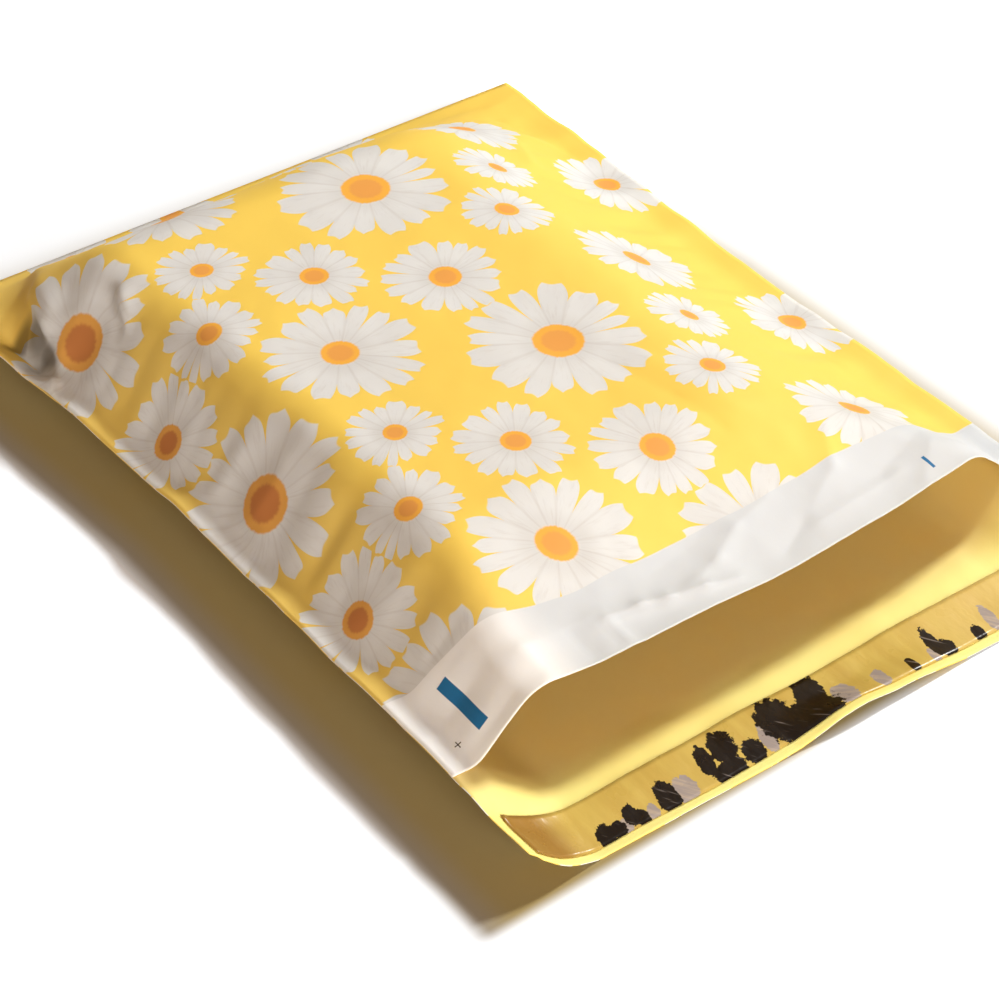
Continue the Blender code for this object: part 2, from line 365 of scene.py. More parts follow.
# Folds of the front panel: both ends as (u, s), height, width and lean, in millimetres.
# A fold that leans is broad on its right, seen from its first end to its second, and steep on its left.
FOLDS = (
    (-84, 2, -83, 15, 1.1, 3.0, 0.3),
    (-66, 3, -66, 13, -0.6, 2.6, 0.0),
    (-60, 4, -58, 15, 0.5, 2.4, 0.0),
    (-53, 2, -54, 12, 0.8, 2.0, -0.5),
    (-54, 12, -42, 11, 1.2, 2.0, -0.4),
    (-42, 11, -33, 9, 1.4, 2.0, -0.4),
    (-33, 9, -20, 7, 1.2, 2.0, -0.4),
    (-20, 7, -8, 5, 0.8, 2.0, -0.3),
    (-83, 15, -54, 15, 0.5, 4.0, 0.0),
    (-24, 10, -9, 14, 0.8, 3.0, 0.0),
    (-9, 14, 4, 20, 0.8, 3.0, 0.0),
    (4, 20, 22, 24, 0.6, 3.0, 0.0),
    (-30, 19, -8, 22, -0.5, 4.0, 0.0),
    (12, 6, 30, 14, -0.6, 3.0, 0.0),
    (28, 9, 66, 10, 0.6, 3.0, 0.0),
    (30, 14, 48, 22, 0.7, 3.0, 0.0),
    (48, 22, 56, 34, 0.7, 3.0, 0.0),
    (60, 13, 104, 24, -0.6, 4.0, 0.0),
    (70, 3, 84, 14, 0.5, 3.0, 0.0),
    (18, 95, 27, 48, -0.5, 3.0, 0.0),
    (27, 96, 36, 52, 0.4, 3.0, 0.0),
    (-108, 121, -98, 144, 0.6, 3.0, 0.2),
    (-122, 126, -100, 120, -0.5, 2.6, 0.0),
    (-110, 240, -106, 250, 2.2, 4.0, 0.6),
    (-106, 250, -102, 266, 3.2, 4.2, 0.6),
    (-100, 252, -92, 284, 3.4, 9.0, 0.4),
    (-87, 219, -83, 226, 2.6, 3.0, 0.35),
    (-92, 221, -88, 229, -2.2, 3.0, 0.0),
    (-123, 228, -120, 233, 1.6, 2.2, 0.2),
    (-120, 233, -114, 239, 1.6, 2.4, 0.2),
    (-96, 240, -88, 226, 1.0, 4.0, 0.0),
    (92, 262, 110, 246, 0.9, 4.0, 0.0),
    (104, 275, 115, 240, -1.0, 4.0, 0.0),
    (84, 222, 92, 244, 1.2, 4.0, 0.0),
)

# Dents that both panels share beside their welds, as FOLDS but with both ends in plan (x, y)
DENTS = (
    (-111, 107, -112, 117, -3.4, 3.8, 0.0),
    (-112, 117, -113, 135, -7.0, 4.6, 0.0),
    (-116, 95, -112, 101, -1.2, 2.0, 0.0),
)

# How round a fold's crest is, as a share of its width
CREST = 0.25


def fold_heights(table, u, s):
    """Sum of a table's folds, each a soft-crested ridge that dies out at its ends."""
    total = np.zeros_like(u)
    for u0, s0, u1, s1, height, width, lean in table:
        start = np.array((u0, s0)) * MM
        way = np.array((u1, s1)) * MM - start
        size = np.hypot(*way)
        along = ((u - start[0]) * way[0] + (s - start[1]) * way[1]) / size**2
        off = ((u - start[0]) * way[1] - (s - start[1]) * way[0]) / size / MM
        over = size * np.maximum(np.abs(along - 0.5) - 0.5, 0.0) / MM
        side = width * (1.0 + lean * np.sign(off))
        away = np.hypot(off / side, over / width)
        total += height * MM * np.exp(CREST - np.hypot(away, CREST))
    return total


# Waves of the film as layers of noise: lengths across and along, shift, seed and height
SWELL = ((0.045, 0.060, 3.1, 11, 0.0007), (0.022, 0.026, 7.7, 12, 0.0003))
PUCKERS = ((0.060, 0.0105, 5.2, 13, 0.0007), (0.040, 0.0052, 1.2, 14, 0.0002))
RIPPLES = ((0.007, 0.009, 2.2, 15, 0.00012),)
FLAP_WAVES = ((0.030, 0.024, 0.0, 31, 0.0005), (0.008, 0.014, 0.0, 32, 0.00015))
# Lengths from the weld over which they rise, and where the side wall's puckers end
SWELL_RISE = 0.030
RIPPLE_RISE = 0.006
PUCKER_RISE = 0.010
PUCKER_END = 0.050
PUCKER_FADE = 0.030
# The left half of the lip bulges up: its height, and how far back it reaches
LIP_BULGE = 0.0013
LIP_BULGE_LENGTH = 0.014


def waves(layers, u, s):
    """Sum of layers of noise."""
    total = 0.0
    for across, along, shift, seed, height in layers:
        total = total + smooth_noise(u / across + shift, s / along, seed) * height
    return total


def front_relief(bag, u, s):
    """How far the front panel stands off its smooth shape."""
    inset = bag.half - bag.p.weld - np.abs(u)
    swell = waves(SWELL, u, s) * ease(inset / SWELL_RISE)
    wall = ease(inset / PUCKER_RISE) * ease((PUCKER_END - inset) / PUCKER_FADE)
    puckers = waves(PUCKERS, u, s) * wall
    ripples = waves(RIPPLES, u, s) * ease(inset / RIPPLE_RISE)
    left_half = ease((u + 0.100) / 0.015) * ease((0.005 - u) / 0.040)
    lip = LIP_BULGE * np.exp(-s / LIP_BULGE_LENGTH) * left_half
    return swell + puckers + ripples + fold_heights(FOLDS, u, s) + lip


# Width beside each weld that sways, and the part of it over which the sway grows
SWAY_WIDTH = 0.022
SWAY_RISE = 0.016
# Keeps the right side's waves apart from the left side's in the noise
OTHER_SIDE = 40.0


def seam_sway(bag, x, y):
    """Sideways and upward waves that the two panels share near their welds."""
    near = ease((np.abs(x) - (bag.half_width(y) - SWAY_WIDTH)) / SWAY_RISE)
    side = np.where(x < 0.0, 0.0, OTHER_SIDE)
    up = smooth_noise(y / 0.019 + side, side, 21) * 0.0009
    up += smooth_noise(y / 0.009 + side, side, 22) * 0.0002
    sideways = smooth_noise(y / 0.060 + side, side + 3.0, 23) * 0.0006
    return near * sideways, near * up + fold_heights(DENTS, x, y)


# How high the flap's end stands off the ground along the bag's width, in millimetres
END_LIFT_X = (-24, -18, -10, -3, 3, 7, 12, 18, 31, 46, 62, 80, 96)
END_LIFT_HEIGHT = (0, 0.3, 2.2, 4.4, 5.4, 5.5, 4.8, 3.9, 2.8, 1.1, 0.2, 1.0, 0.4)


# Creases along the flap's curled sides, in millimetres: reach from the side, fade, spacing and height
CRINKLE_REACH = 9.0
CRINKLE_FADE = 5.0
CRINKLE_SPACING = 3.0
CRINKLE_HEIGHT = 1.2


def crinkled_side(bag, u):
    """Fine creases that run along the flap's curled sides."""
    inset = (bag.half - np.abs(u)) / MM
    near = ease((CRINKLE_REACH - inset) / CRINKLE_FADE)
    return near * (np.abs((inset / CRINKLE_SPACING) % 1.0 - 0.5) - 0.25) * CRINKLE_HEIGHT * MM


# The front panel's relief never sinks it by more than this share of the room over the back panel
SINK_LIMIT = 0.4
# How far out on the flap its end starts to lift
LIFT_START = 0.026
# Lengths over which the relief calms down to the fold, the flap's waves rise beyond the mouth,
# and the welds' sway dies out on the flap and towards the closed end
FOLD_CALM = 0.012
FLAP_WAVE_RISE = 0.010
SWAY_FLAP_FADE = 0.020
SWAY_CLOSED_FADE = 0.015
# The film's underside stays this far over the surface
GROUND_CLEARANCE = 0.00005


def film_points(bag, u, s):
    """Points of the film with its folds, puckers and waves."""
    panel = bag.p.panel_length
    v = np.where(s <= panel, s, 2 * panel - s)
    points = bag.point(u, s)
    normals = bag.normal(u, s)
    on_front = s <= panel
    from_fold = ease(np.abs(s - panel) / FOLD_CALM)
    x, y = points[..., 0], points[..., 1]
    room = bag.front_height(x, y) - bag.back_height(x, y)
    front = np.maximum(front_relief(bag, u, np.minimum(s, panel)), -SINK_LIMIT * room)
    relief = np.where(on_front, front, 0.0)
    flap = ease((s - 2 * panel) / FLAP_WAVE_RISE)
    flap_wave = waves(FLAP_WAVES, u, s) + crinkled_side(bag, u)
    relief = relief * from_fold - flap_wave * flap + bag.p.gap * (1.0 - flap)
    sideways, up = seam_sway(bag, x, y)
    points = points + normals * relief[..., None]
    still = (1.0 - ease(-v / SWAY_FLAP_FADE)) * ease((bag.closed_y - y) / SWAY_CLOSED_FADE)
    points[..., 0] += sideways * still
    points[..., 2] += up * still
    edge = ease((-v - LIFT_START) / (bag.p.flap_length - LIFT_START))
    lift = np.interp(points[..., 0] / MM, END_LIFT_X, END_LIFT_HEIGHT) * MM
    points[..., 2] += lift * edge
    points[..., 2] = np.maximum(points[..., 2], bag.p.wall + GROUND_CLEARANCE)
    return points


class Value:
    """A socket whose operators add Math nodes."""

    def __init__(self, recipe, socket):
        self.recipe = recipe
        self.socket = socket

    def __add__(self, other):
        return self.recipe.math("ADD", self, other)

    def __radd__(self, other):
        return self.recipe.math("ADD", other, self)

    def __sub__(self, other):
        return self.recipe.math("SUBTRACT", self, other)

    def __rsub__(self, other):
        return self.recipe.math("SUBTRACT", other, self)

    def __mul__(self, other):
        return self.recipe.math("MULTIPLY", self, other)

    def __rmul__(self, other):
        return self.recipe.math("MULTIPLY", other, self)

    def __truediv__(self, other):
        return self.recipe.math("DIVIDE", self, other)

    def __pow__(self, other):
        return self.recipe.math("POWER", self, other)


class Recipe:
    """A material and the nodes that make it."""

    def __init__(self, name):
        self.material = bpy.data.materials.new(name)
        self.material.use_nodes = True
        self.tree = self.material.node_tree
        self.tree.nodes.clear()

    def node(self, kind, settings=None, values=None, output=0):
        """Add a node, give it its settings and then its sockets, and return one of its outputs, if any."""
        node = self.tree.nodes.new(kind)
        for name, value in (settings or {}).items():
            setattr(node, name, value)
        for name, value in (values or {}).items():
            if isinstance(value, Value):
                self.tree.links.new(value.socket, node.inputs[name])
            else:
                node.inputs[name].default_value = value
        return Value(self, node.outputs[output]) if node.outputs else None

    def math(self, operation, *values):
        return self.node("ShaderNodeMath", {"operation": operation}, dict(enumerate(values)))

    def ramp(self, value, low, high):
        """0 below low, 1 above high, with a smooth step between."""
        settings = {"interpolation_type": "SMOOTHSTEP"}
        values = {"Value": value, "From Min": low, "From Max": high}
        return self.node("ShaderNodeMapRange", settings, values)

    def length(self, vector):
        return self.node("ShaderNodeVectorMath", {"operation": "LENGTH"}, {0: vector}, 1)

    def chance(self, x, y):
        """An even random number for each pair of whole numbers."""
        seed = self.vector(x, y)
        return self.node("ShaderNodeTexWhiteNoise", {"noise_dimensions": "2D"}, {"Vector": seed})

    def mix(self, factor, first, second):
        """A colour between two colours."""
        values = {0: factor}
        for socket, tint in ((6, first), (7, second)):
            values[socket] = tint if isinstance(tint, Value) else (*tint, 1.0)
        return self.node("ShaderNodeMix", {"data_type": "RGBA"}, values, 2)

    def blend(self, operation, first, second=None, third=None, scale=None):
        """A vector from up to three vectors and a scale."""
        values = {0: first, 1: second, 2: third, "Scale": scale}
        values = {name: value for name, value in values.items() if value is not None}
        return self.node("ShaderNodeVectorMath", {"operation": operation}, values)

    def choose(self, factor, first, second):
        """A vector between two vectors."""
        return self.node("ShaderNodeMix", {"data_type": "VECTOR"}, {0: factor, 4: first, 5: second}, 1)

    def vector(self, x, y, z=0.0):
        return self.node("ShaderNodeCombineXYZ", None, {0: x, 1: y, 2: z})

    def parts(self, vector):
        """The three parts of a vector."""
        node = self.node("ShaderNodeSeparateXYZ", None, {0: vector}).socket.node
        return [Value(self, out) for out in node.outputs]

    def noise(self, vector, scale, detail=2.0, roughness=0.5):
        values = {"Vector": vector, "Scale": scale, "Detail": detail, "Roughness": roughness}
        return self.node("ShaderNodeTexNoise", None, values)

    def flat_coordinates(self):
        """u and s of the film, in metres."""
        uv = self.node("ShaderNodeUVMap", {"uv_map": "flat"})
        u, s = self.parts(uv)[:2]
        return uv, u, s

    def bump(self, height, strength, distance):
        values = {"Height": height, "Strength": strength, "Distance": distance}
        return self.node("ShaderNodeBump", None, values)

    def finish(self, values):
        """End in a Principled BSDF."""
        shader = self.node("ShaderNodeBsdfPrincipled", {"subsurface_method": "BURLEY"}, values)
        return self.end(shader)

    def end(self, shader):
        """Send a shader to the material's output."""
        self.node("ShaderNodeOutputMaterial", None, {"Surface": shader})
        return self.material


# Daisies in one repeat of the print: centre (u, s) and petal length in millimetres,
# and the disc's share of the petal length
DAISIES = (
    (12, 3, 32.0, 0.265),
    (-103.5, 15, 34.0, 0.270),
    (-31, 79, 20.2, 0.240),
    (3.5, 53, 22.5, 0.245),
    (-58, 104.5, 16.8, 0.230),
    (-74.5, 75, 19.0, 0.240),
    (-48, 39.5, 28.7, 0.215),
    (62, 104, 17.0, 0.200),
    (44, 73, 17.9, 0.240),
    (76, 39, 25.0, 0.205),
    (-110, 66, 23.6, 0.255),
    (114, 104, 23.8, 0.220),
)
# The daisy that isn't printed at the closed left corner, and that corner as low u, low s, high u, high s
MISSING = 10
MISSING_CORNER = (-140.0, 250.0, -80.0, 320.0)
# Where the painted shade of the left side wall sets in, and where it is full; the unprinted band's painted
# light sets in at the same place
LEFT_PAINTED_LIGHT_AND_SHADE_START = -0.066
LEFT_PAINTED_SHADE_FULL = -0.096
PETALS = 16
# The core's share of each disc
CORE_SHARE = 0.62


def nearest_daisy(recipe, u, s, repeat):
    """Place within the nearest daisy, in petal lengths, and how far out it is.

    The place's third part is the daisy's number plus its disc's share.
    """
    pulled = recipe.ramp(recipe.math("ABSOLUTE", u - 0.014), 0.052, 0.010) * recipe.ramp(s, 0.050, 0.014)
    place = recipe.vector(u, s - pulled * 0.0095)
    best = None
    for number, (cu, cs, radius, disc) in enumerate(DAISIES):
        away = recipe.blend("SUBTRACT", place, (cu * MM, cs * MM, 0.0))
        away = recipe.blend("WRAP", away, (1.0, repeat / 2, 1.0), (-1.0, -repeat / 2, -1.0))
        away = recipe.blend("SCALE", away, scale=1.0 / (radius * MM))
        size = recipe.length(away)
        here = recipe.blend("ADD", away, (0.0, 0.0, number + disc))
        if best is None:
            best, least = here, size
            continue
        nearer = recipe.math("LESS_THAN", size, least)
        best = recipe.choose(nearer, best, here)
        least = recipe.math("MINIMUM", size, least)
    return best, least


def daisy_colour(recipe, look, u, s, uv):
    """The printed ground with its daisies."""
    place, away = nearest_daisy(recipe, u, s, look.repeat)
    across, along, tag = recipe.parts(place)
    number = recipe.math("FLOOR", tag)
    disc = tag - number
    angle = recipe.math("ARCTAN2", along, across)
    sway = recipe.math("SINE", angle * 3.0 + number * 1.7) * 0.06
    sway = sway + recipe.math("SINE", angle * 5.0 + number * 2.9) * 0.035
    turn = (angle + sway + number * 0.9) * (PETALS / (2 * math.pi)) + 40.0
    index = recipe.math("FLOOR", turn)
    offset = turn - index - 0.5
    chance = recipe.chance(recipe.math("MODULO", index, float(PETALS)), number)
    from_middle = recipe.math("ABSOLUTE", offset) * 2.0
    between = recipe.math("FLOOR", turn + 0.5)
    gap = recipe.chance(recipe.math("MODULO", between, float(PETALS)), number + 0.5)
    teeth = recipe.math("ABSOLUTE", recipe.math("SINE", (offset + chance * 0.3) * (2.2 * math.pi)))
    notch = 0.15 + gap**2.0 * 0.34
    tip = (0.84 + chance * 0.16) * (1.0 - 0.05 * from_middle**2.0 - notch * from_middle**5.0)
    tip = tip - teeth * 0.045
    petal = recipe.ramp(tip - away, -0.008, 0.016)

    streak = recipe.noise(recipe.vector(turn * 2.2, away * 1.4, number), 2.4, 3.0, 0.6)
    line = recipe.ramp(from_middle, 0.70, 1.0) * recipe.ramp(away, 0.98, 0.62)
    shade = line * 0.24 + recipe.ramp(streak, 0.50, 0.78) * 0.26 + recipe.ramp(away, 0.52, 0.24) * 0.30
    shade = shade + recipe.ramp(chance, 0.55, 1.0) * 0.10
    white = recipe.mix(shade, look.petal, look.petal_shade)

    # Painted shade: ground, rings and middles darker towards the shaded left side wall
    left_painted_shade = recipe.ramp(u, LEFT_PAINTED_LIGHT_AND_SHADE_START, LEFT_PAINTED_SHADE_FULL)
    ground = recipe.mix(left_painted_shade, look.ground, look.ground_painted_shade)
    ground = recipe.mix(recipe.noise(uv, 14.0, 1.0) * 0.10, ground, (0.94, 0.59, 0.09))
    grain = recipe.noise(recipe.vector(angle * 2.0, away * 3.0, number), 3.0, 3.0) * 0.04
    ring = recipe.ramp(away - grain - disc, -0.004, -0.034)
    core = recipe.ramp(away - grain - disc * CORE_SHARE, 0.016, -0.034)
    same = recipe.math("COMPARE", number, float(MISSING), 0.5)
    printed = 1.0 - same * box_mask(recipe, u, s, *MISSING_CORNER)
    result = recipe.mix(petal * printed, ground, white)
    result = recipe.mix(ring * printed, result, recipe.mix(left_painted_shade, look.ring, look.ring_painted_shade))
    return recipe.mix(core * printed, result, recipe.mix(left_painted_shade, look.core, look.core_painted_shade))


def box_mask(recipe, u, s, low_u, low_s, high_u, high_s, edge=0.15):
    """1 inside a rectangle of the flat film given in millimetres."""
    soft = edge * MM
    sides = []
    for value, low, high in ((u, low_u, high_u), (s, low_s, high_s)):
        middle = (low + high) / 2 * MM
        reach = (high - low) / 2 * MM
        away = recipe.math("ABSOLUTE", value - middle)
        sides.append(recipe.ramp(away, reach + soft, reach - soft))
    return sides[0] * sides[1]


# Registration marks as low u, low s, high u, high s in millimetres
EYE_MARKS = ((-108.6, 6.6, -103.9, 27.2), (75.2, 4.6, 76.4, 10.0))
# The small cross: its middle, the length of each arm and half its line's width
CROSS_MARK = (-116.5, 9.0)
CROSS_ARM = 1.3
CROSS_LINE = 0.18

# Painted shade in the deep hollow at the closed left corner: middle (u, s), half width and height
POCKET_PAINTED_SHADE = (
    (-111.5, 247, 3.4, 9.0),
    (-109.5, 256, 5.6, 9.0),
    (-113.5, 264, 8.0, 5.0),
)
# Colour of that painted shade, and how much of it is laid over the print
POCKET_PAINTED_SHADE_COLOUR = (0.06, 0.045, 0.03)
POCKET_PAINTED_SHADE_DEPTH = 0.62

# Light spreads a little in the thin film, which shines softly
THIN_FILM = {
    "Specular IOR Level": 0.25,
    "Subsurface Weight": 1.0,
    "Subsurface Radius": (1.0, 0.9, 0.6),
    "Subsurface Scale": 0.0005,
}


def film_bump(recipe, uv, strength):
    """The fine unevenness of a blown film."""
    fine = recipe.noise(uv, 900.0, 2.0) * 0.25
    wide = recipe.noise(uv, 160.0, 2.0)
    return recipe.bump(wide + fine, strength, 0.0004)


# The unprinted band's edge waves by this much, and the band widens towards its left end
BAND_WAVE = 0.004
BAND_WIDENS_FROM = -0.055
BAND_WIDENS_TO = -0.125
BAND_WIDENING = 0.010
BAND_BLUR = 0.0002
# Where the unprinted band's painted light at its left end is full
BARE_PAINTED_LIGHT_FULL = -0.086


def printed_film(look):
    """Outside of the film: the print, the unprinted band and the marks."""
    recipe = Recipe("printed_film")
    uv, u, s = recipe.flat_coordinates()
    result = daisy_colour(recipe, look, u, s, uv)
    edge = recipe.noise(recipe.vector(u, 0.0), 30.0, 1.0) * BAND_WAVE - BAND_WAVE / 2
    edge = edge + recipe.ramp(u, BAND_WIDENS_FROM, BAND_WIDENS_TO) * BAND_WIDENING
    band = recipe.ramp(s - edge, look.band + BAND_BLUR, look.band - BAND_BLUR)
    # Painted light: the unprinted band lighter towards its shaded left end
    bare = recipe.mix(recipe.ramp(u, LEFT_PAINTED_LIGHT_AND_SHADE_START, BARE_PAINTED_LIGHT_FULL), look.bare, look.bare_painted_light)
    result = recipe.mix(band, result, bare)
    # Painted shade darkens the print in the deep hollow at the closed left corner
    pocket_painted_shade = blots(recipe, u, s, 0.0, POCKET_PAINTED_SHADE, 0.0, 1.25, 0.35) * POCKET_PAINTED_SHADE_DEPTH
    result = recipe.mix(pocket_painted_shade, result, POCKET_PAINTED_SHADE_COLOUR)
    marks = box_mask(recipe, u, s, *EYE_MARKS[0]) + box_mask(recipe, u, s, *EYE_MARKS[1])
    result = recipe.mix(marks, result, look.mark)
    cu, cs = CROSS_MARK
    upright = box_mask(recipe, u, s, cu - CROSS_LINE, cs - CROSS_ARM, cu + CROSS_LINE, cs + CROSS_ARM, 0.08)
    level = box_mask(recipe, u, s, cu - CROSS_ARM, cs - CROSS_LINE, cu + CROSS_ARM, cs + CROSS_LINE, 0.08)
    result = recipe.mix(recipe.math("MAXIMUM", upright, level), result, (0.05, 0.04, 0.04))
    rough = recipe.noise(uv, 60.0, 3.0) * 0.12 + 0.57
    bump = film_bump(recipe, uv, 0.10)
    return recipe.finish({"Base Color": result, "Roughness": rough, "Normal": bump, **THIN_FILM})


def inner_film(look):
    """Inside of the film, tinted through by the ground."""
    recipe = Recipe("inner_film")
    uv, u, s = recipe.flat_coordinates()
    cloud = recipe.noise(uv, 22.0, 3.0)
    # Painted shade: the inner face turns to its darker colour at the edge of the lip's shadow
    ground = recipe.mix(recipe.ramp(s, 0.600, 0.617), look.inside_painted_shade, look.inside)
    result = recipe.mix(recipe.ramp(cloud, 0.40, 0.72) * 0.25, ground, (0.95, 0.62, 0.14))
    rough = recipe.noise(uv, 70.0, 2.0) * 0.10 + 0.48
    bump = film_bump(recipe, uv, 0.12)
    return recipe.finish({"Base Color": result, "Roughness": rough, "Normal": bump, **THIN_FILM})


# Dark and grey blots painted on the liner as reflections in its glossy film: middle (u, t), half width and
# half height, in millimetres.
# t runs from the liner's outer edge towards the mouth.
DARK_PAINTED_REFLECTIONS = (
    (-88.8, 2.4, 3.6, 4.6),
    (-84.2, 2.0, 2.6, 3.4),
    (-78.0, 4.6, 2.4, 4.2),
    (-75.6, 1.8, 2.6, 3.2),
    (-64.3, 4.2, 3.8, 6.4),
    (-46.0, 8.6, 3.0, 5.6),
    (-38.0, 10.0, 4.6, 5.8),
    (-42.0, 2.0, 6.2, 4.2),
    (-31.5, 3.6, 3.8, 4.6),
    (-17.0, 9.6, 6.6, 7.8),
    (-1.5, 10.4, 5.6, 8.0),
    (-9.0, 4.0, 13.0, 7.0),
    (32.4, 2.4, 1.8, 3.6),
    (45.4, 6.4, 2.4, 6.0),
    (47.4, 2.4, 3.2, 3.8),
    (61.0, 2.0, 2.4, 3.2),
    (86.0, 4.6, 4.2, 5.4),
    (92.0, 2.2, 3.4, 3.6),
)
GREY_PAINTED_REFLECTIONS = (
    (-81.4, 2.2, 2.4, 2.8),
    (-71.6, 2.0, 2.0, 3.0),
    (-58.2, 4.0, 4.4, 5.0),
    (-24.4, 5.0, 2.4, 5.4),
    (6.4, 4.6, 4.2, 5.4),
    (20.2, 3.4, 2.4, 4.2),
    (41.4, 2.2, 1.6, 3.4),
    (69.0, 4.6, 2.2, 5.4),
    (98.0, 2.4, 2.4, 3.6),
)
BLOT_LEAN = 0.25


def blots(recipe, u, t, ragged, table, lean=BLOT_LEAN, outer=1.03, inner=0.97):
    """1 inside any of a table's blots, with ragged edges."""
    place = recipe.vector(u + t * -lean, t)
    least = None
    for cu, ct, half_u, half_t in table:
        size = (1.0 / (half_u * MM), 1.0 / (half_t * MM), 0.0)
        middle = (-(cu - lean * ct) / half_u, -ct / half_t, 0.0)
        away = recipe.length(recipe.blend("MULTIPLY_ADD", place, size, middle))
        least = away if least is None else recipe.math("MINIMUM", least, away)
    return recipe.ramp(least + ragged, outer, inner)


def release_liner():
    """Glossy release film over the adhesive, with dark and grey blots of painted reflection and its curled
    left end darkened as painted shade.
    """
    recipe = Recipe("release_liner")
    uv, u, t = recipe.flat_coordinates()
    ragged = (recipe.noise(uv, 420.0, 3.0, 0.7) - 0.5) * 1.1
    # Painted reflections: dark and grey blots stand in for what the glossy liner reflects
    dark = blots(recipe, u, t, ragged, DARK_PAINTED_REFLECTIONS)
    grey = blots(recipe, u, t, ragged * 0.8, GREY_PAINTED_REFLECTIONS)
    long = recipe.vector(u * 3.0, t * 0.35)
    cloud = recipe.noise(long, 40.0, 3.0)
    ground = recipe.mix(recipe.ramp(cloud, 0.36, 0.66), (0.70, 0.53, 0.13), (0.62, 0.44, 0.10))
    # Painted shade: the liner's curled left end darker brown
    ground = recipe.mix(recipe.ramp(u, -0.094, -0.110) * 0.85, ground, (0.34, 0.17, 0.035))
    ground = recipe.mix(recipe.ramp(u, 0.030, 0.070) * 0.5, ground, (0.86, 0.66, 0.24))
    streak = recipe.noise(recipe.vector(u * 2.0 + t * 1.4, t * 0.3), 260.0, 2.0, 0.6)
    painted_reflection_dark = recipe.mix(recipe.ramp(streak, 0.62, 0.72) * 0.55, (0.010, 0.006, 0.004), (0.36, 0.32, 0.30))
    pale = recipe.mix(recipe.ramp(streak, 0.45, 0.65), (0.40, 0.35, 0.33), (0.52, 0.44, 0.36))
    result = recipe.mix(dark, recipe.mix(grey, ground, pale), painted_reflection_dark)
    rough = recipe.noise(uv, 120.0, 2.0) * 0.14 + 0.22
    bump = recipe.bump(recipe.noise(recipe.vector(u * 2.0, t), 150.0, 2.0), 0.35, 0.0006)
    looks = {"Base Color": result, "Roughness": rough, "Specular IOR Level": 0.35, "Normal": bump}
    return recipe.finish(looks)


def amber_adhesive():
    """Tacky amber hot melt."""
    recipe = Recipe("amber_adhesive")
    uv, u, t = recipe.flat_coordinates()
    drawn = recipe.noise(recipe.vector(u * 0.2, t), 900.0, 2.0)
    result = recipe.mix(drawn, (0.80, 0.62, 0.25), (0.70, 0.48, 0.16))
    rough = recipe.noise(uv, 200.0, 2.0) * 0.15 + 0.38
    bump = recipe.bump(drawn, 0.5, 0.0004)
    return recipe.finish({"Base Color": result, "Roughness": rough, "Normal": bump})


def new_piece(name, bm, materials, slot, *nodes):
    """An object at the origin that rides on the bag and stands for its CAD nodes."""
    mesh = bpy.data.meshes.new(name)
    bm.to_mesh(mesh)
    bm.free()
    mesh.shade_smooth()
    for material in materials:
        mesh.materials.append(material)
    obj = bpy.data.objects.new(name, mesh)
    bpy.context.scene.collection.objects.link(obj)
    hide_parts(*nodes)
    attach(obj, "root")
    return obj


def flat_grid(columns, rows, place):
    """A grid whose corners are moved to place(across, along), with its flat coordinates as a UV map."""
    bm = bmesh.new()
    bmesh.ops.create_grid(bm, x_segments=columns, y_segments=rows, size=0.5)
    bm.verts.ensure_lookup_table()
    grid = np.array([vert.co[:2] for vert in bm.verts]) + 0.5
    u, s, points = place(grid[:, 0], grid[:, 1])
    uv = bm.loops.layers.uv.new("flat")
    for vert, a, b, point in zip(bm.verts, u, s, points):
        vert.co = point
        for loop in vert.link_loops:
            loop[uv].uv = (a, b)
    return bm


# Length of the lip's fine rows, and the shares of all rows that lie before the end of the lip,
# of the front panel and of the back panel. The lip and the flap take many, because their folds are fine.
LIP_LENGTH = 0.040
ROW_SHARES = (0.0, 0.156, 0.5625, 0.875, 1.0)


class MAILER_OT_film(bpy.types.Operator):
    """Fold the printed film into the filled bag"""

    bl_idname = "mailer.film"
    bl_label = "Film"

    def execute(self, context):
        shape = context.scene.mailer_shape
        bag = Bag(shape)
        panel = shape.panel_length
        lengths = [0.0, LIP_LENGTH, panel, 2 * panel, 2 * panel + shape.flap_length]

        def place(across, along):
            u = (across * 2.0 - 1.0) * bag.half
            s = np.interp(along, ROW_SHARES, lengths)
            return u, s, film_points(bag, u, s)

        bm = flat_grid(shape.columns, shape.rows, place)
        look = context.scene.mailer_print
        materials = [printed_film(look), inner_film(look)]
        film = new_piece("bag_film", bm, materials, "printed_film", "mailer_film")
        wall = film.modifiers.new("Wall", "SOLIDIFY")
        wall.thickness = shape.wall
        wall.offset = 1.0
        wall.material_offset = 1
        return {"FINISHED"}


# Thickness that the strips are shown with, and how far each one's underside is over the film
STRIP_WALL = 0.00012
ADHESIVE_LIFT = 0.00012
LINER_LIFT = 0.00034
STRIP_COLUMNS = 300
STRIP_ROWS = 12
# How far the strips' ends stay inside the film's sides, and how far they lie off its middle
STRIP_INSET = 0.0040
STRIP_SHIFT = 0.0010


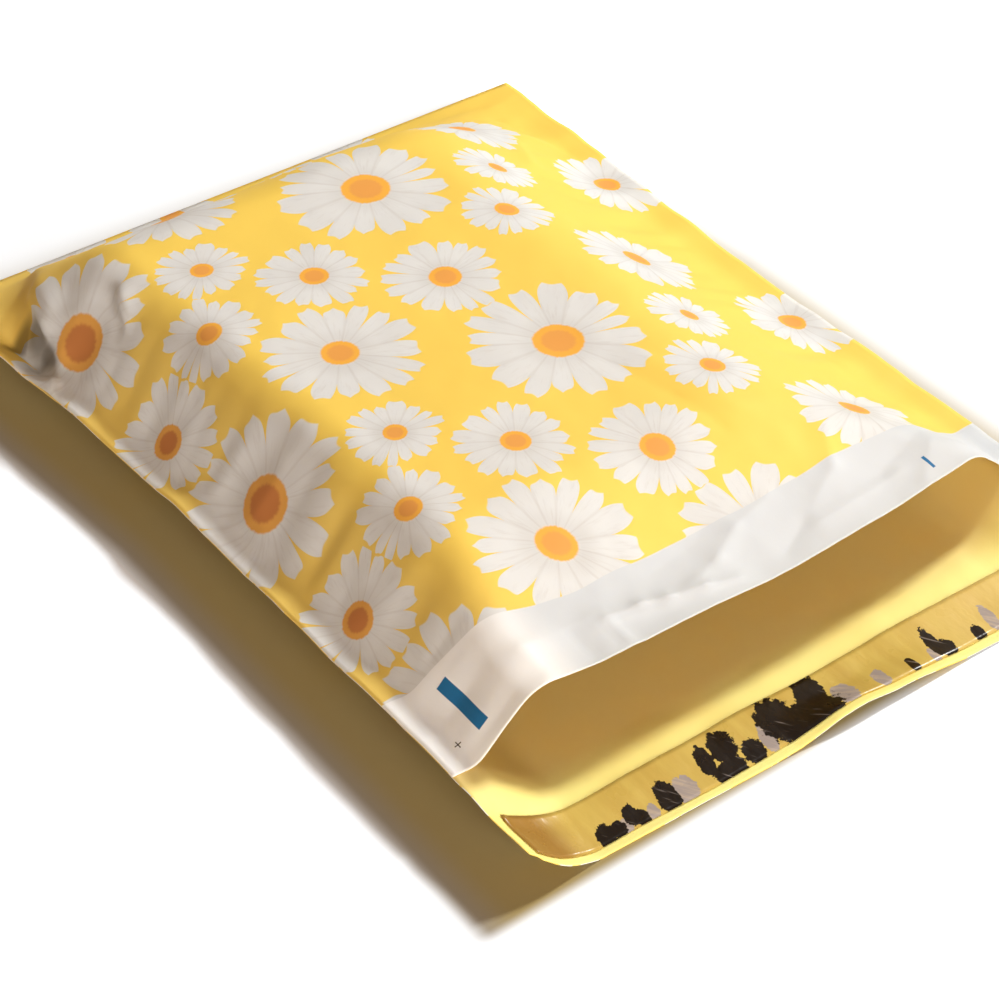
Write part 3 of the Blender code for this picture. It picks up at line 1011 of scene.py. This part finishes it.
def strip(shape, name, lift, width, material, slot, node):
    """A strip along the whole flap, a lift above the film's inner face."""
    bag = Bag(shape)
    middle = shape.liner_from_mouth + shape.liner_width / 2
    stretch = shape.flap_length / shape.flap_near

    def place(across, along):
        u = (across * 2.0 - 1.0) * (bag.half - STRIP_INSET) + STRIP_SHIFT
        t = along * width
        sway = smooth_noise(u / 0.030, along, 41) * 0.0006
        s = 2 * shape.panel_length + (middle + width / 2 - t) * stretch + sway
        step = 0.0005
        points = film_points(bag, u, s)
        normal = np.cross(
            film_points(bag, u, s + step) - film_points(bag, u, s - step),
            film_points(bag, u + step, s) - film_points(bag, u - step, s),
        )
        normal /= np.linalg.norm(normal, axis=-1, keepdims=True)
        return u, t, points + normal * lift

    grid = flat_grid(STRIP_COLUMNS, STRIP_ROWS, place)
    piece = new_piece(name, grid, [material], slot, node)
    solid = piece.modifiers.new("Wall", "SOLIDIFY")
    solid.thickness = STRIP_WALL
    solid.offset = 1.0


class MAILER_OT_adhesive(bpy.types.Operator):
    """Lay the strip of adhesive along the flap"""

    bl_idname = "mailer.adhesive"
    bl_label = "Adhesive"

    def execute(self, context):
        shape = context.scene.mailer_shape
        material = amber_adhesive()
        strip(shape, "adhesive", ADHESIVE_LIFT, shape.adhesive_width, material, "adhesive", "adhesive_strip")
        return {"FINISHED"}


class MAILER_OT_liner(bpy.types.Operator):
    """Lay the release liner over the adhesive"""

    bl_idname = "mailer.liner"
    bl_label = "Release liner"

    def execute(self, context):
        shape = context.scene.mailer_shape
        material = release_liner()
        strip(shape, "liner", LINER_LIFT, shape.liner_width, material, "liner", "release_liner")
        return {"FINISHED"}


def add_lamp(name, towards, distance, size, power, tint):
    """A round lamp that shines at the bag from a direction."""
    lamp = bpy.data.lights.new(name, "AREA")
    lamp.shape = "DISK"
    lamp.size = size
    lamp.energy = power
    lamp.color = tint
    towards = Vector(towards).normalized()
    holder = bpy.data.objects.new(name, lamp)
    holder.location = towards * distance
    holder.rotation_euler = towards.to_track_quat("Z", "Y").to_euler()
    bpy.context.scene.collection.objects.link(holder)


# Camera: place, angle down and angle off the bag's length
EYE = (-0.380, -0.500, 0.510)
LOOK_DOWN = math.radians(40.5)
LOOK_RIGHT = math.radians(37.0)
SENSOR_WIDTH = 36.0
# Directions, distances and tints of the key lamp and of the low lamp in front
KEY_TOWARDS = (1.15, 0.10, 1.0)
KEY_DISTANCE = 1.9
KEY_TINT = (1.0, 0.99, 0.96)
SIDE_TOWARDS = (-0.22, -0.94, 0.30)
SIDE_DISTANCE = 2.2
SIDE_SIZE = 1.0
SIDE_TINT = (1.0, 0.91, 0.84)
# Brightness of the backdrop that the camera sees, and half the floor's width
BACKDROP = 4.0
FLOOR_REACH = 12.0


class MAILER_OT_stage(bpy.types.Operator):
    """Set up the camera, the lamps and a pale floor"""

    bl_idname = "mailer.stage"
    bl_label = "Stage"

    def execute(self, context):
        scene = context.scene
        stage = scene.mailer_stage
        scene.view_settings.view_transform = "Standard"

        camera = bpy.data.cameras.new("camera")
        camera.lens = stage.lens
        camera.sensor_width = SENSOR_WIDTH
        eye = bpy.data.objects.new("camera", camera)
        eye.location = EYE
        eye.rotation_euler = Euler((math.pi / 2 - LOOK_DOWN, 0.0, -LOOK_RIGHT))
        scene.collection.objects.link(eye)
        scene.camera = eye

        add_lamp("key", KEY_TOWARDS, KEY_DISTANCE, stage.key_size, stage.key_power, KEY_TINT)
        add_lamp("side", SIDE_TOWARDS, SIDE_DISTANCE, SIDE_SIZE, stage.side_power, SIDE_TINT)

        world = bpy.data.worlds.new("studio")
        scene.world = world
        world.use_nodes = True
        background = world.node_tree.nodes["Background"]
        background.inputs["Strength"].default_value = stage.fill
        # The camera sees a white backdrop
        seen = world.node_tree.nodes.new("ShaderNodeLightPath")
        mix = world.node_tree.nodes.new("ShaderNodeMix")
        mix.data_type = "RGBA"
        mix.inputs[6].default_value = (*stage.fill_colour, 1.0)
        mix.inputs[7].default_value = (BACKDROP, BACKDROP, BACKDROP, 1.0)
        world.node_tree.links.new(seen.outputs["Is Camera Ray"], mix.inputs[0])
        world.node_tree.links.new(mix.outputs[2], background.inputs["Color"])

        bm = bmesh.new()
        bmesh.ops.create_grid(bm, x_segments=1, y_segments=1, size=FLOOR_REACH)
        mesh = bpy.data.meshes.new("floor")
        bm.to_mesh(mesh)
        bm.free()
        floor = bpy.data.objects.new("floor", mesh)
        scene.collection.objects.link(floor)
        mesh.materials.append(floor_material())
        return {"FINISHED"}


def floor_material():
    """A white floor that keeps the bag's real cast shadow; beside the bag its colour is painted darker and
    golden, painted shadow with painted light through the film.
    """
    recipe = Recipe("floor")
    place = recipe.node("ShaderNodeTexCoord", output=3)
    x, y = recipe.parts(place)[:2]
    # Painted shadow: a darker tint beside the left side and along the flap's end, golden near the bag as
    # painted light through the film
    x = x + recipe.math("MAXIMUM", y - 0.030, 0.0) * 0.08
    beside = recipe.ramp(x, -0.1385, -0.1300) * recipe.ramp(y, 0.200, 0.160)
    beside = beside * recipe.ramp(y, -0.170, -0.164) * recipe.ramp(x, 0.15, 0.12)
    tint = recipe.mix(recipe.ramp(x, -0.136, -0.120), (0.38, 0.36, 0.32), (0.40, 0.325, 0.150))
    far = recipe.length(place)
    white = recipe.mix(recipe.ramp(far, 0.30, 1.20), (1.20, 1.34, 1.50), (6.0, 6.7, 7.5))
    seen = recipe.mix(beside, white, tint)
    camera = recipe.node("ShaderNodeLightPath")
    shade = recipe.mix(camera, (0.80, 0.80, 0.80), seen)
    return recipe.end(recipe.node("ShaderNodeBsdfDiffuse", None, {"Color": shade}))


class MAILER_PT_panel(bpy.types.Panel):
    """Lists the steps that build the bag"""

    bl_idname = "MAILER_PT_panel"
    bl_label = "Poly Mailer Bag"
    bl_space_type = "VIEW_3D"
    bl_region_type = "UI"
    bl_category = "Mailer"

    def draw(self, context):
        for operator in STEPS:
            self.layout.operator(operator.bl_idname)


GROUPS = {"mailer_shape": MailerShape, "mailer_print": MailerPrint, "mailer_stage": MailerStage}
STEPS = (MAILER_OT_film, MAILER_OT_adhesive, MAILER_OT_liner, MAILER_OT_stage)
CLASSES = (*GROUPS.values(), *STEPS, MAILER_PT_panel)


def register():
    for cls in CLASSES:
        bpy.utils.register_class(cls)
    for name, group in GROUPS.items():
        setattr(bpy.types.Scene, name, PointerProperty(type=group))


def unregister():
    for name in GROUPS:
        delattr(bpy.types.Scene, name)
    for cls in reversed(CLASSES):
        bpy.utils.unregister_class(cls)


def main():
    register()
    bpy.ops.mailer.film()
    bpy.ops.mailer.adhesive()
    bpy.ops.mailer.liner()
    bpy.ops.mailer.stage()


if __name__ == "__main__":
    main()
